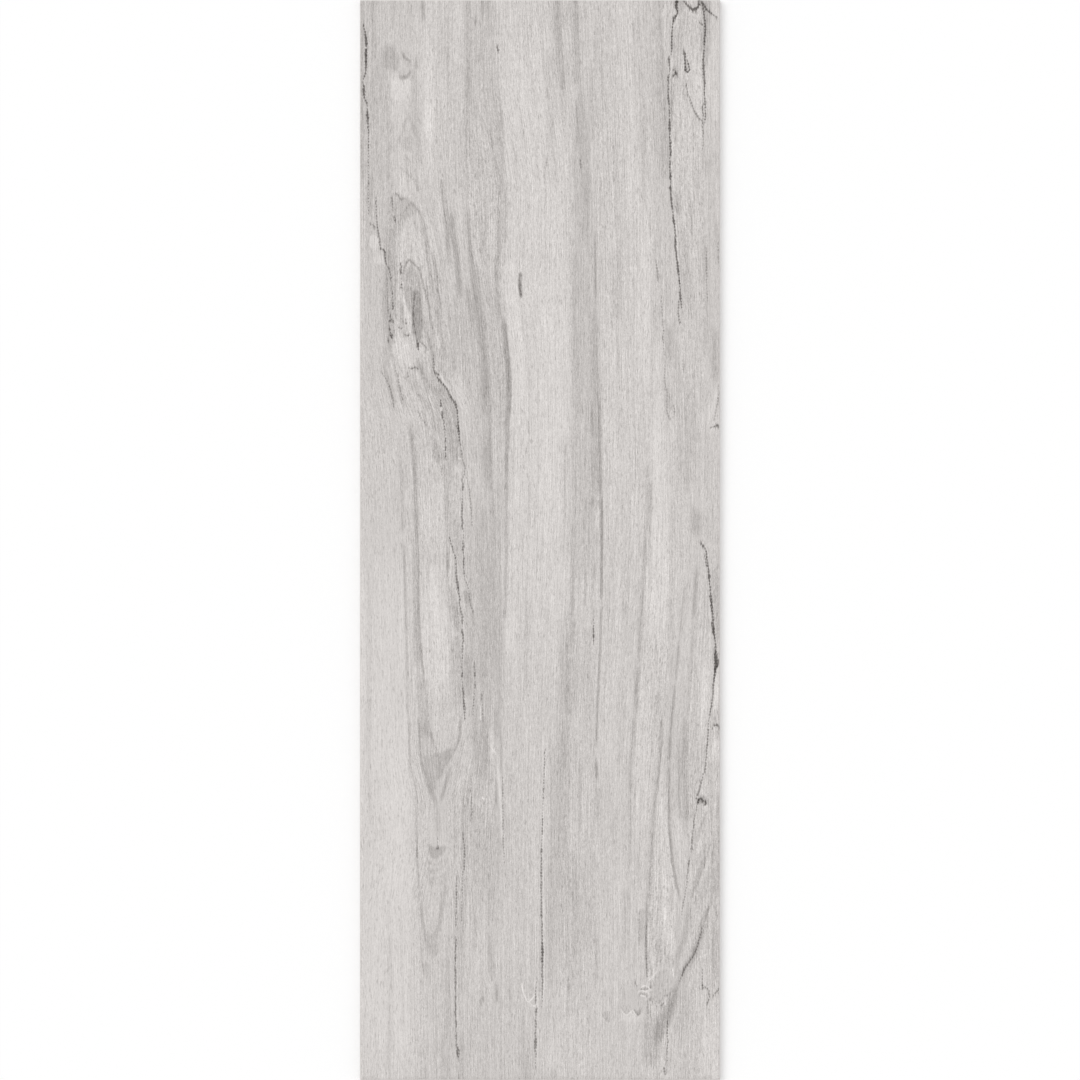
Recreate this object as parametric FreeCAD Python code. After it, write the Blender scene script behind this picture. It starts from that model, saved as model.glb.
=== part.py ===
import FreeCAD
import Part

import math
import os

# Wood look porcelain plank tile: one piece, dry pressed, fired and then ground to size.
# The face is flat, the grinding leaves a fine bevel on every arris, and the back carries the
# pressed key: a field of shallow drafted pockets between ribs, which the adhesive grips.
# Millimetres. The origin is the middle of the back, +X across the plank, +Y along it, and
# +Z out of the face.

# Overall size
LENGTH = 1200.0
WIDTH = 400.0
THICKNESS = 10.0

# Bevels at 45 degrees, round the face and round the back
FACE_BEVEL = 0.8
BACK_BEVEL = 0.5

# Key on the back: a plain rim, then pockets between ribs
KEY_RIM = 8.0  # plain band from the plank's edge to the first pocket
KEY_PITCH = 30.0  # wanted spacing of the pockets, which is then evened out over the back
KEY_RIB = 4.0  # width of a rib where it rests on the bed
KEY_DEPTH = 0.8
KEY_DRAFT = 45.0  # slope of a pocket's walls, in degrees from upright

LEVEL_TOLERANCE = 0.001  # how near to a height an edge's ends lie when it is at that height

NODE_FOLDER = "parts"
NODE = "plank_tile"


def arrises(solid, height):
    """The straight edges of a solid that lie at this height."""
    return [
        edge
        for edge in solid.Edges
        if all(abs(vertex.Z - height) < LEVEL_TOLERANCE for vertex in edge.Vertexes)
    ]


def ground_slab():
    """The plank without its key: a block with its face and back arrises bevelled."""
    block = Part.makeBox(WIDTH, LENGTH, THICKNESS, FreeCAD.Vector(-WIDTH / 2, -LENGTH / 2, 0))
    slab = block.makeChamfer(FACE_BEVEL, arrises(block, THICKNESS))
    return slab.makeChamfer(BACK_BEVEL, arrises(slab, 0))


def evened_spacing(span):
    """How many pockets go in one row across this overall size, and their exact spacing."""
    field = span - 2 * KEY_RIM + KEY_RIB
    count = max(1, round(field / KEY_PITCH))
    return count, field / count


def key_pocket(width, length):
    """One pocket, as the solid to cut away: widest at the back, and centred on the Z axis."""
    x = width / 2
    y = length / 2
    inset = KEY_DEPTH * math.tan(math.radians(KEY_DRAFT))
    # A wedge narrows along Y, so it is made lying down and then turned up to narrow along Z.
    wedge = Part.makeWedge(-x, 0, -y, inset - y, inset - x, x, KEY_DEPTH, y, y - inset, x - inset)
    return wedge.rotated(FreeCAD.Vector(0, 0, 0), FreeCAD.Vector(1, 0, 0), 90)


def key_pockets():
    """Every pocket of the key, in rows and columns that fill the back inside its rim."""
    columns, column_pitch = evened_spacing(WIDTH)
    rows, row_pitch = evened_spacing(LENGTH)
    pocket = key_pocket(column_pitch - KEY_RIB, row_pitch - KEY_RIB)
    pockets = []
    for column in range(columns):
        for row in range(rows):
            x = (column - (columns - 1) / 2) * column_pitch
            y = (row - (rows - 1) / 2) * row_pitch
            pockets.append(pocket.translated(FreeCAD.Vector(x, y, 0)))
    return Part.makeCompound(pockets)


def plank_tile():
    """The finished plank: the ground slab with the key pressed into its back."""
    return ground_slab().cut(key_pockets())


tile = plank_tile()
os.makedirs(NODE_FOLDER, exist_ok=True)
tile.exportStep(os.path.join(NODE_FOLDER, NODE + ".step"))
print(NODE, "solids", len(tile.Solids), "faces", len(tile.Faces), "volume", round(tile.Volume), "mm3")
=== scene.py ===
import math

import bpy
import numpy as np
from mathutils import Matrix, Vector
from mathutils.geometry import delaunay_2d_cdt


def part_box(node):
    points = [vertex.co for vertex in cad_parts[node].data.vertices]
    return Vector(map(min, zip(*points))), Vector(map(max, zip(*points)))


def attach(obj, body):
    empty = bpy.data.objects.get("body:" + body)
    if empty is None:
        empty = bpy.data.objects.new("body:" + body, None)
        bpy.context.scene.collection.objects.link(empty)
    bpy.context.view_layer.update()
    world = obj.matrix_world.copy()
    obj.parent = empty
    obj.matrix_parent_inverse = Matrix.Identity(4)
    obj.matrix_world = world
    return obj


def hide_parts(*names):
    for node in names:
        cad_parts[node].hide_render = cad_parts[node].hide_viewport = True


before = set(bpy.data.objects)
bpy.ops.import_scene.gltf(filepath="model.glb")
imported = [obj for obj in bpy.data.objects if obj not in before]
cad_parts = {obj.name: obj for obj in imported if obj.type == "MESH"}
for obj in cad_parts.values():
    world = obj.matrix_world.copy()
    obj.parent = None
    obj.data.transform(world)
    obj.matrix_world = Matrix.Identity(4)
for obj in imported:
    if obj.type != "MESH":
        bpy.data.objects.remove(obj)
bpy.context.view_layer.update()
NODE = "plank_tile"
LOW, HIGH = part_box(NODE)

# The plank's face is drawn on a sheet that is 360 units wide and 1080 long, with X to the right and
# Y down. A unit is a pixel of the photograph, in which the plank starts 360 pixels from the left.
SHEET_LEFT, SHEET_RIGHT = 360.0, 720.0
SHEET_TOP, SHEET_BOTTOM = 0.0, 1080.0
UNIT = (HIGH.x - LOW.x) / (SHEET_RIGHT - SHEET_LEFT)  # metres

# Sizes in metres
FACE_BEVEL = 0.0008
BEVEL_FOOT = HIGH.z - FACE_BEVEL
WELD = 0.00001  # points of the CAD plank that are nearer than this are one

# Grey levels, from 0 to 255
WHITE = 255.0
PLAIN_TONE = 204.0
CHIP_TONE = 228.0

# How the figure is drawn, in sheet units
PATH_STEPS = 8  # points that a curve has from one drawn point to the next
GROUND_FADE = 60.0  # least length of the faded ends of a soft part
LINE_FADE = 14.0  # and of a line
FADE_WIDTHS = 5.0  # a wide stroke's ends fade over this many half widths
FADE_SHARE = 0.4  # but over no more than this share of its length
CHIP_EDGE = (0.6, 1.4)  # where the edge of a chip starts and ends, in half widths
BEAD_STEP = 1.5  # length of the beads that the dark of a check breaks into
BEAD_SWELL = (0.4, -0.35)  # how a check's half width changes from bead to bead
BEAD_SPREAD = (0.4, 1.4)  # least and most share of that change in a bead
BEAD_CONTRAST = 0.25  # how far the dark of a bead departs from the check's own
CHECK_WAVER = 0.2  # how far a check strays from its path
CHECK_EDGE = 0.35  # half the softness of a check's edge
CHECK_DARK = 66.0  # grey levels that a check of strength 1 takes off

# The mesh of the face, in sheet units
COLUMN_STEP = 1.7
ROW_STEP = 4.0
LINE_STEP = 3.6  # spacing of the extra points along a line
PATCH_STEP = 2.0
NARROW = 3.2  # lines of a smaller half width get extra points
CROWDING = 0.35  # extra points nearer than this to one another are thinned out
CLEARANCE = 0.8  # the regular points keep this far from the extra ones
SQUEEZE = 0.45  # the sheet is shortened to this while it is triangulated, since the grain runs along it
MERGE = 0.0001  # points nearer than this are one when they are triangulated
TINY = 1e-9  # stands in for a length of 0

# Depths of the relief, in metres
CHECK_DEPTH = 0.00035
TONE_DEPTH = 0.0000045  # per grey level below the palest
PALEST = 219.0
DEEPEST = 0.0007

# Where each part of the surface lies on the map that its picture is baked to: start and width
FACE_STRIP = (0.0, 0.66)
BACK_STRIP = (0.68, 0.22)
LEFT_STRIP = (0.91, 0.02)
RIGHT_STRIP = (0.94, 0.02)
END_STRIP = (0.97, 0.02)
END_SHARE = 0.4
FAR_END = 0.5  # where the second end starts along its strip
FACING = 0.6  # a surface faces the way in which its normal reaches this far

# Grain of the print: noise cells to a unit across and along the fibres, and strength in grey levels
GRAIN = (
    (2.7, 0.006, 27.0),
    (2.7, 0.025, 30.0),
    (2.7, 0.08, 31.0),
    (2.7, 0.25, 32.0),
    (2.2, 0.8, 44.0),
)
VIGOUR_TONES = (185.0, 216.0)
VIGOUR = (1.2, 0.9)  # how strong the grain is at these tones
PORE_LIFT = 0.6  # grey levels that make up for the dark of the pores
PORES = (1.6, 0.2, 24.0)
PORE_RANGE = (0.62, 0.8)
NOISE_MIDDLE = 0.5
NOISE_START = (0.0, 0.0, 0.5)
NOISE_STEP = (17.3, 9.1, 1.0)  # from the place of one noise to that of the next

# Looks of the glaze and of the body. Roughness is given at two grey levels, and bump in metres
WARM_GREEN, WARM_BLUE = 4.5, 7.4  # green and blue are this many grey levels below red
RAMP_LEVELS = (30, 60, 90, 120, 150, 175, 195, 210, 225, 245)
GLAZE_LEVELS = (120.0, 220.0)
GLAZE_ROUGHNESS = (0.75, 0.55)
GLAZE_BUMP = 0.0002  # from black to white
BODY_LEVEL = 210.0
BODY_CLOUDS = (9.0, 16.0)  # cells to a metre, strength in grey levels
BODY_MOTTLE = (120.0, 14.0)
BODY_SPECKS = (900.0, 18.0)
BODY_DETAIL = 3.0
BODY_LEVELS = (180.0, 230.0)
BODY_ROUGHNESS = (0.9, 0.75)
BODY_BUMP = 0.0006

# Stage
FLOOR_SIZE = 12.0
FLOOR_GAP = 0.0002
FLOOR_WHITE = 1.0
DOME_LIGHT = 0.8
KEY_LIGHT = 0.2
KEY_TILT = math.radians(40)
KEY_TURN = math.radians(-45)
KEY_SPREAD = math.radians(40)
LENS = 200.0
SENSOR = 36.0


def drawn(text):
    """Shapes that are written one to a line: a few numbers, then points with commas in them."""
    shapes = []
    for line in text.strip().splitlines():
        words = [[float(part) for part in word.split(",")] for word in line.split()]
        numbers = [word[0] for word in words if len(word) == 1]
        points = [word for word in words if len(word) > 1]
        shapes.append((*numbers, points))
    return shapes


# The figure, drawn on the sheet, in the order in which it is painted
# Soft parts of the boards: tone (grey level), half width, softness, path
PALE_BOARD = drawn("""
211 31 10  530,-60 541,450 533,730
203 24 14  524,690 519,900 519,1140
216 8 7  511,240 512,290 519,400 517,440
214 14 12  552,250 553,450 549,560
206 4 4  528,560 529,640 526,800
207 6 6  535,700 536,800 533,980
209 5 5  514,560 515,610 513,660
""")
LEFT_BOARD = drawn("""
199 13 12  374,-60 376,190 372,290
205 28 18  382,360 384,560
213 27 16  383,490 382,640 387,900 385,1140
216 12 12  393,700 398,800 398,930
210 6 8  400,70 398,150 402,176
211 6 6  427,-10 430,170 434,200
208 5 5  457,-40 457,60 455,100
205 10 8  445,-40 448,170
""")
CATHEDRAL_GROUND = drawn("""
203 18 10  430,170 436,250
195 22 14  440,260 450,360 448,420
200 12 10  470,420 472,470
208 14 6  432,470 433,570
214 13 6  433,560 439,720
206 12 8  440,700 441,745
206 14 10  434,800 432,900
202 14 10  432,900 436,1010 436,1140
203 8 8  456,730 453,870
""")
MIDDLE_BOARD = drawn("""
198 17 8  480,-60 484,250
196 18 8  483,240 488,380 487,470
193 18 8  485,460 486,760
197 20 10  482,760 482,940
201 20 12  484,960 485,1140
205 5 5  495,-40 495,60 498,100
""")
BROAD_BAND = drawn("""
197 14 8  564,-60 566,60 570,110
193 9 6  577,90 585,250 586,340
196 14 5  584,200 586,400 584,600
199 15 8  582,600 580,730
203 14 10  584,720 588,860
194 8 6  569,600 563,840
197 26 14  572,830 571,985
205 30 16  572,1010 572,1140
206 5 5  566,20 567,60
""")
RIGHT_BOARD = drawn("""
204 20 12  608,-60 614,200
208 22 14  620,200 623,420 620,620
209 8 8  625,-40 626,80 632,170 634,260
214 6 6  645,180 645,360 640,430
215 9 7  655,380 660,520 659,600 654,660
208 12 10  608,600 607,800
205 18 12  612,800 614,1140
211 6 6  645,640 642,800 638,860
212 5 5  664,730 663,800 667,930
196 9 8  652,-60 655,50 663,190
202 7 7  645,-40 648,140
""")
EDGE_BOARD = drawn("""
204 16 10  686,20 690,200 696,300
211 8 8  714,-40 714,130
204 10 8  708,160 706,470
200 10 8  682,300 688,520
205 12 10  686,540 680,680
213 5 5  705,640 705,700 702,750
198 14 10  680,700 679,760 682,830
199 14 12  706,800 706,960
203 12 10  690,990 688,1140
212 9 8  711,985 711,1140
""")
GROUND = PALE_BOARD + LEFT_BOARD + CATHEDRAL_GROUND + MIDDLE_BOARD + BROAD_BAND + RIGHT_BOARD + EDGE_BOARD

# Narrow bands and lines of the grain, written as the soft parts are
LEFT_LINES = drawn("""
190 3 3  386,336 388,374
196 3 3  393,-14 394,32
189 2.5 3  371,168 372,218
172 1.6 2  361,-20 362,30
187 3 4  362,-20 361,130 362,190
192 3 3  374,-20 374,90 376,190
193 2.5 3  386,80 388,130 388,190
178 1.6 2  422,-20 424,30
191 2.4 3  414,66 417,130 420,170
197 2 3  393,110 393,150 391,200
199 2 3  441,30 441,70
199 2 3  447,10 449,140
203 1.6 3  369,560 369,640 366,760
207 2 3  372,560 370,740 371,830
205 2 3  390,930 390,1000 388,1120
193 1.6 2.2  400,452 402,490 403,540
184 1.4 1.8  404,536 406.6,640
190 1.2 1.8  406.6,630 407.6,710 409,724
179 2.2 2.2  410,420 415.4,480 416.5,552
187 3.4 2  416,530 417,640 418.6,672
175 1 1.2  418.6,545 419,620 424,680 428,718
189 4.6 3.4  420,670 425,736
187 1 1.4  408.8,712 410,762 412,774 415,785 416.5,802 416.6,828 418,872 420,900
182 1.4 1.8  421,896 421.6,912 425.7,938 428,946
""")
MIDDLE_LINES = drawn("""
197 2.5 3  562,78 565,132
187 1 1.2  466.8,-20 467,60 466,175
187 0.9 1.2  469.2,-20 468.8,110
182 5 3  485.6,-30 486,22
189 0.9 1.2  484,26 484,75 486,88
193 1.1 1.4  487,78 488.4,118 489.6,128
177 1.2 1.4  489.6,124 492,143 494,152
185 1.8 2.2  493,146 498,182
192 1.2 1.6  491,18 497,90
189 2 2.4  500,102 503.5,184
184 2.4 2.4  500,172 499.4,240 496.6,275 497,306 501.4,325
194 3.4 3  503.6,178 503.4,250
165 2.5 1.8  503.4,314 508.8,380 507.4,426
174 2 1.8  508.2,388 506.6,455 506.5,505
185 1.5 1.6  506.6,470 506,580 505,625
191 3 3  484,205 483,262
182 2.4 3  466,205 468.4,220 472,262 475,276
184 7 7  470,270 477,352
180 4.4 4  472.6,254 485,360 487,424
175 2 2.4  478,290 485,370 486,400
187 5 5  486,420 488,500
173 1.4 1.6  490,398 490,450 491,478
179 1.1 1.4  491.6,478 494,524 494.6,550
189 2.6 4  482,500 483,560 483,690
189 2.6 3  492,560 496,690
191 1.6 2.4  499,620 500,720
191 0.9 1.2  528.4,412 528.6,436
192 1 1.3  529.6,478 529.4,536
198 1.8 2.4  527.4,590 526,700
187 0.8 1.1  516.4,148 516.6,166
202 5 6  549,40 553,195
186 8 6  480,700 483,800
186 3 3  496,700 498,745
186 1 1.4  500,715 501,750 501,782
180 1.2 1.6  496,775 496.6,812
179 1.4 1.8  490,818 490.2,846
191 2.6 3  490,840 490,930
187 2.6 3  489.6,925 491,985
177 1.3 1.5  496,980 497.6,1006
182 1.6 2  484.4,995 479,1006
192 3.6 4  465,780 464,880
194 3 3  463,880 461,930
192 3.4 3  462,1026 462,1110
196 2.6 3  456,880 456,1040 459,1100
193 2.6 3  447,950 447.6,1060
195 4.6 4  445,1020 445,1120
194 1.6 2  478,1000 478,1040
198 1.6 2.4  509,955 510,1040
193 5.6 5  527,1030 528,1120
196 4 4  521,1006 522,1066
190 3 3  457,512 457.4,545 459,574
192 2.8 3  461,900 462,1000
195 2 2.6  475,900 473,960
""")
BAND_LINES = drawn("""
184 2.8 2.8  556.6,-20 559,38 564,97
173 1.2 1.4  562.4,66 563.8,90
178 1 1.4  558.6,16 560.6,50
187 3.2 3  574.6,-20 577,92
172 1.2 1.6  575.6,94 577,112 578.2,150
190 5 4  582,80 585,180 585,250
177 1.3 1.6  586,186 586,206
175 1.1 1.4  594.4,228 596,305
186 4.2 4  593,300 595.6,400 596,500
171 1.2 1.6  592,396 592.4,445
168 1.4 1.6  592.2,494 593,510
170 1.3 1.6  599,390 601,500
181 1 1.4  585.4,440 585.6,482
185 1 1.4  583.4,512 584,528
183 1 1.3  586,496 586.2,514
194 2 3  576.6,280 577,360 577.6,420
203 4 5  565,430 566,565
190 1.8 2.4  572,520 572,600 569.6,650
187 2.6 2.8  568.6,630 567.4,720
181 1.1 1.5  568.4,658 567.6,702
187 2.6 3  564,715 564.4,745 561,842
192 6 5  560,740 562,900
193 3 3  552,740 553,820 551,990
193 3 3  574,850 575,920 571,990
165 1.3 1.5  601,490 601.8,540 601,606
178 1.3 1.6  601,600 600.6,645 598.6,680 596,750
169 1.6 1.6  595.6,756 597.5,785
191 2.6 3  597,780 597,830
186 1 1.3  593.4,598 593.4,622
174 1.2 1.4  594.8,562 595,580
185 1 1.3  585.2,560 585.6,580 585,612
190 1.2 1.6  580,750 580,835
188 1.2 1.5  597,930 596,990
190 2 2.4  569,975 569,998
""")
RIGHT_LINES = drawn("""
189 4 4  684,8 682,28 680,52
186 3 3  702.6,12 703,34 702.6,58
193 1.6 2  592,60 593,150
197 2 3  603,20 603,120
203 2 3  604,185 605,215 603,300
189 1.2 1.6  634,16 634,44
194 2 3  644,110 645,160
189 0.9 1.2  649,205 650,243
184 0.9 1.2  658.6,-10 661,36 666,74
182 1.4 2  671.6,66 672,134
190 4 4  661,55 664,90 666,185
186 1 1.4  656,88 660,97
197 5 6  616,240 618,330
196 3 3.4  648,460 649,505 647,540
189 1.4 2  650,475 649.4,512
186 1.7 2.2  646.4,532 639.4,645 637.2,668
183 2.4 2.6  637.6,660 635.5,717
171 1.2 1.6  636.4,678 635.6,700
187 1.8 2.2  635,712 631.4,757 630.6,800
189 1.6 2  630.6,790 630,872
198 3 4  624,598 624.4,618
200 2.2 3  620,678 619.6,720 618,765
192 2 2.6  615,800 614,860
196 3 4  627,884 626,920 627,955
185 1.8 2.2  662,712 660,760 654,812 652.6,832
175 1 1.4  660.8,742 660,766
183 1.7 2  652.8,822 650.4,875 647.4,912
177 1 1.4  650.6,866 649.6,892
198 3 4  671,590 671,650 668,690
193 2.6 3  657,685 657,716
187 0.9 1.2  685,580 679.5,640
179 1 1.3  680,634 675,686
171 1.2 1.4  675.4,680 670.4,738
168 1.5 1.6  670.8,730 669,768
172 1.4 1.6  669.2,760 669,822 672.5,860 677,887 681,902
181 2.1 2.2  697,560 693.4,624
185 1.2 1.6  693.6,616 690.5,680 687.6,722
182 2.8 2.8  686.4,714 685,760 687,828
185 1.2 1.6  679,740 678.5,792 680.6,818
185 5 4  695,505 697,542
184 3 3  676,186 679.4,222
195 4 5  682,222 687,296
190 4.4 5  686,266 688,318
189 4.6 5  669,318 673,372
190 1.2 1.6  688,185 691,215 692,245
195 2.6 3  706,230 707,350
191 2.4 3  717,215 717,270
187 3.4 3  716,322 714.6,388
196 4.4 4  707,318 707.6,365
192 3 2.4  669,384 671,416
195 5 5  687,395 688,450 686,490
193 2 2.6  693,400 694,470
193 3 3  709,158 709.6,174
193 1.4 2  713,150 716,164
191 4 4  715,560 717,645
189 2 2.4  718,790 718,870
191 4 4  716,912 715,988
198 3 3  711,760 709,790
190 2.5 3  685,10 686.5,22 685,36
191 6 6  678,18 677,60
166 1.6 2  706.6,20 707,35 706.2,52
198 6 6  655,930 660,955 668,965
193 3 3  642,908 641,950
184 3.6 4  648,1012 648,1050 650,1070
174 1 1.4  647.4,896 646.4,928 646.4,960 647.6,984
186 4 4  708,902 697,946 681,979 676,996
160 1.2 1.6  711,900 702.6,928
164 1.2 1.6  703,926 698.6,942 692.4,957 684.6,968.6 680,980
154 1.8 2  679.4,978 677,988 673.8,1008
""")
ARCHES = drawn("""
185 6.6 6  428,366 447,404 452,428 456,486
187 2.6 2.6  400,296 401.6,314 402,334
191 5 4  412,264 414,294
196 9 6  685,968 685,1052
192 9 6  400,58 404,72
207 5 4  402,58 404,74
184 1.4 1.6  416,52 416.4,72
178 1.4 1.6  387,62 391,64.6 395,69
191 1.6 2  394,152 401,136 406,122 409,116.6 412,124 421,158
187 0.9 1.4  404,157.6 407,158.4 411,161
187 0.9 1.4  403,171 408,174 413,179
197 1.5 2  402,184 406,172 413,178 422,196 430,222
183 1.2 1.6  398,226 402,215 407,208 411,203 415,206 422,218 431,256
185 1.3 1.8  404,228 408,222.6 411,220 413.6,222 416,230 419,242 423,264
186 1.2 1.4  402,283 404.4,268 409,260 412,262.4 418.4,268.4 420.4,273 429,309
179 1.4 1.6  405.6,291 408.6,272 411,268 414,271 416.6,276 420.4,290 422,300
187 1.8 2  423,222 426,240 434,306
183 1.8 2  431,246 437,280 441,316
179 1 1.2  424,272 427,285 430,315 438,345
181 2.4 2.6  440,176 444,200 447.4,230 448.4,252 451,270
179 3 3  450.6,205 452.4,226 457,260 461,300
183 1.6 2  434,300 439,322 443,345 448,365
189 5 4  402,370 430,405 436,420 438,446
184 3 3  417,356 426,382 432,394
176 1.6 2.4  415,356 425,377 441,404
203 1.6 2  414,382 430,400 436,412
186 2.2 3  381,358 390,386 395,412
185 2 2.6  397,380 405,408
180 2 2  433,388 439,416
180 1.6 2  432,428 441,470
184 1.6 2  446,490 446.8,503 445.4,516
180 1.8 2.2  421,312 429,342 440,372
177 1.1 1.4  417.9,716 420,738.6 421.4,761 425.7,777 430,794 435,801
181 1.2 1.6  420.6,718 421.6,748
179 1.2 1.6  428,716 429,746
171 1.2 1.4  429.6,722 431.4,737 439,755
178 2.2 2  423.6,760 427,775 438,810
179 1.6 1.8  452,764 447,779 443.6,792 438,808
184 3.6 2.4  424,712 425.6,730 429.6,748
178 1.2 1.6  451,764 453,753 458.6,741 461.6,712
184 0.9 1.3  423.6,851 428,860.6 434,864.4 441,862.4 447.6,852
187 0.9 1.3  421,856 426.6,867 434,871 443,867 450,855
188 0.9 1.3  421,868 427,877 434,879.4 443,875 449,866
195 1.6 2.2  463,730 461,750 456,775 452,800
194 2 2.4  438,798 437.6,842
187 2 2.4  446,868 441.4,912 433,950
191 1.2 1.6  455,800 455.4,864
181 1 1.3  428,869.4 432,872.8 437,871.4
188 1 1.3  428,881 432,882.5 436.6,882
174 1.2 1.4  447.6,536 447.6,580
192 3.4 3  706,812 698,833 693,856
179 0.9 1.3  709,806 699,831 695.4,842
189 1.6 2  709,838 705,853 689,904
176 0.9 1.3  713,838 693.4,895
180 0.9 1.2  716,850 702,893 698,902
191 2.2 2.6  718,832 709,870 705,890 700,905
186 4 4  717,856 715,905
172 1.4 1.6  716.4,904 717,923
186 3 3  691,900 687,925 682,945 675,962 668,972
""")
LIGHT_LINES = drawn("""
212 2 2.4  413,184 420,200 433,240 438,262
208 3.4 3  456,180 462,246
206 1.4 1.8  424,266 429,288 432,310 437,336 442,356
208 0.9 1.2  436,276 442,300 448,330 456,364
217 4 4  426,66 427,100 430,150
214 1.6 1.6  416,342 427,360
208 6 5  453,370 466,405
213 3 3  457,460 457,480
212 0.9 1.2  466,470 469,520
215 1 1.4  406,485 407,510
218 5 5  434,554 433,634
218 4.4 4  444,660 446,684
218 1.4 1.2  490.4,724 491.4,742 492.6,762
219 1.3 1.1  498.8,758 498.4,772 501,806 502,846
213 0.9 1.2  481,702 481.2,724
212 1 1.4  468,890 468,965
210 1.2 1.6  484,900 485,990
216 2.6 2  497.4,43 499.4,57
213 1 1.4  505.6,128 506,165
206 1.2 1.4  502.4,495 502.4,600
217 2.4 2.4  521.6,336 520.6,362
214 4 4  657,335 659,425
212 3 3  617,556 618,645
211 2 2.6  678,812 680.4,866
209 4 5  690,96 691,174
211 2.4 3  547,716 547,785
212 2.4 2.6  649,556 645,645
214 4.6 4.6  512,596 511,662
216 0.8 1.2  543,735 544,1000
213 0.8 1.2  538,985 538,1070
210 7 6  552,1035 553,1075
214 1.6 1.8  595,506 597,520 596,532
216 0.9 1.2  683,340 682,362 684,388
216 1.2 1.4  672,422 674,445
216 1.2 1.4  716,386 715,400 712,416
213 5 4  710,400 712,434
222 2.2 1.6  718.4,664 717,690 714,718
212 4 4  697,44 697,110
216 3.6 3.4  704.6,664 704.6,722
218 4 4  716,732 717,752 716,765
212 2 2  701.6,808 696,836
210 1.8 2.2  704,830 694,864
208 1.8 2.2  711,850 705,872 698,892
211 1.2 1.4  707,900 698,925
215 4.6 4  666,895 669,955
216 1 1.2  650,980 654,976 658,969
214 3 3  712,85 716,125
211 1 1.2  660,40 667,52 668,58
215 4 3  377,254 380,266
209 3 3  394,104 394.6,126
""")
LINES = LEFT_LINES + MIDDLE_LINES + BAND_LINES + RIGHT_LINES + ARCHES + LIGHT_LINES

# Areas with an outline of their own: tone, softness, corners
PATCHES = drawn("""
190 3  390,195 404,196 412,203 417,213 405,219 402,230 395,238 390,230
210 3.4  409,219 414,224 424,252 426,263 419,264 411,257 403,263 400,250 405,225
185 5  384,228 393,234 396,256 396,300 394,346 386,342 381,300 386,262
184 4  386,256 396,260 396,288 388,290
184 2  402,288 412,289 412,314 407,306
166 2.6  413,291 419,291 422,303 422.6,325 421,340 416,338 412,330 412,300
211 3  394,338 402,338 413,348 414,362 408,368 398,362 392,350
216 2  370,236 377,236 379,243 377,248 370,247
218 1.4  403,294 407.6,311 411,316 411.6,330 409,332 406.4,320
216 1.4  439.6,375.6 442,376 449,388 445,385
183 3  433,446 440,447 441,460 436,462
189 4  441,455 449,458 452,480 449,492 444,482
193 4  444,490 450,488 451,540 446,548
187 4  448,588 455,592 459,610 460,630 453,624
182 2.4  464,591 470,593 470,602 465,602
195 5  452,648 460,640 460,705 455,700
184 4  464,655 471,660 472,690 465,692
184 3  424,757 438.6,753 446,764 441,778 436,790 429,782 425,768
182 3  438,755 446,750.6 455.7,748.6 445.7,768 441.4,778 438,770
195 3  421,738 430,738 436,752 425,756
199 3  435,784 440,780 441,790 438.4,796
182 3  427.6,844 432,846.4 437.6,847 443,846 446,847 444,853 440,857 434,858.6 429.4,855
190 5  425,937 438,935 438,952 428,953
192 2  423,964 429.4,964 429,977 424,977
193 2  638,912 646,912 645,936 639,934
196 2  651,981 658,973 668,966 678,958 679,972 675,990 668,994 660,1003 652,998 649,989
192 6  646,1010 656,1016 664,1040 658,1058 649,1064 645,1040
168 7  677,986 674,1011 662,1038 655,1046 653,1038 657,1022
200 1.6  622,984 634,984 644,1000 641,1012 638,1015 633,1009 626,1013 621,1004
179 1.4  634,1009 637,1011 641,1009 640,1014 638,1015.4 635.6,1013
188 1.4  602,1014 606,1011 610,1012 609.4,1021.6 605,1019
211 3  622,1014 628,1014 633,1012 640,1017 644,1008 645,1020 634,1022 622,1020
184 6  384,47 392,46 397,58 397,69 387,69 382,60
217 5  391,79 400,80 410,78 411,92 404,100 393,98
168 1.4  402.8,53 404.2,53 405.6,56.6 411,60.4 409.6,62 402.6,57
178 2  399,75.4 405,75.4 410.6,71.6 409.6,77 404,79.6 399.6,78.6
211 2  402.4,172 405,174 407,184 407,196 400,195 396.4,191 399.6,182
191 4  402,140 408,133 412,140 412,150 403,150
205 4  682,330 688,334 690,352 684,354
190 4  706,16 711,24 710,50 705,66
160 1.3  518.8,274 521.8,273.6 522,284 522.4,294 521.4,297.6 519.6,296 518.2,287
217 4  504,266 515,263 517,300 508,306 503,296
184 4  699,-6 709,-6 712,14 708,24 703,18
182 4  674,-6 685,-6 684,11 677,14
178 2  683.6,53 686,55 689.4,69 687.4,72.6 685,70 684.4,62
189 3  672.6,68 677,66 678,74 676,78 673,77
178 2.4  698,797 702,795 706.6,797 708.4,802 706,805 702,803 698,803
190 2  666,956 676,956 675,965 668,965
195 3  549,1070 556,1071 557,1090 549,1090
""")

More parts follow.
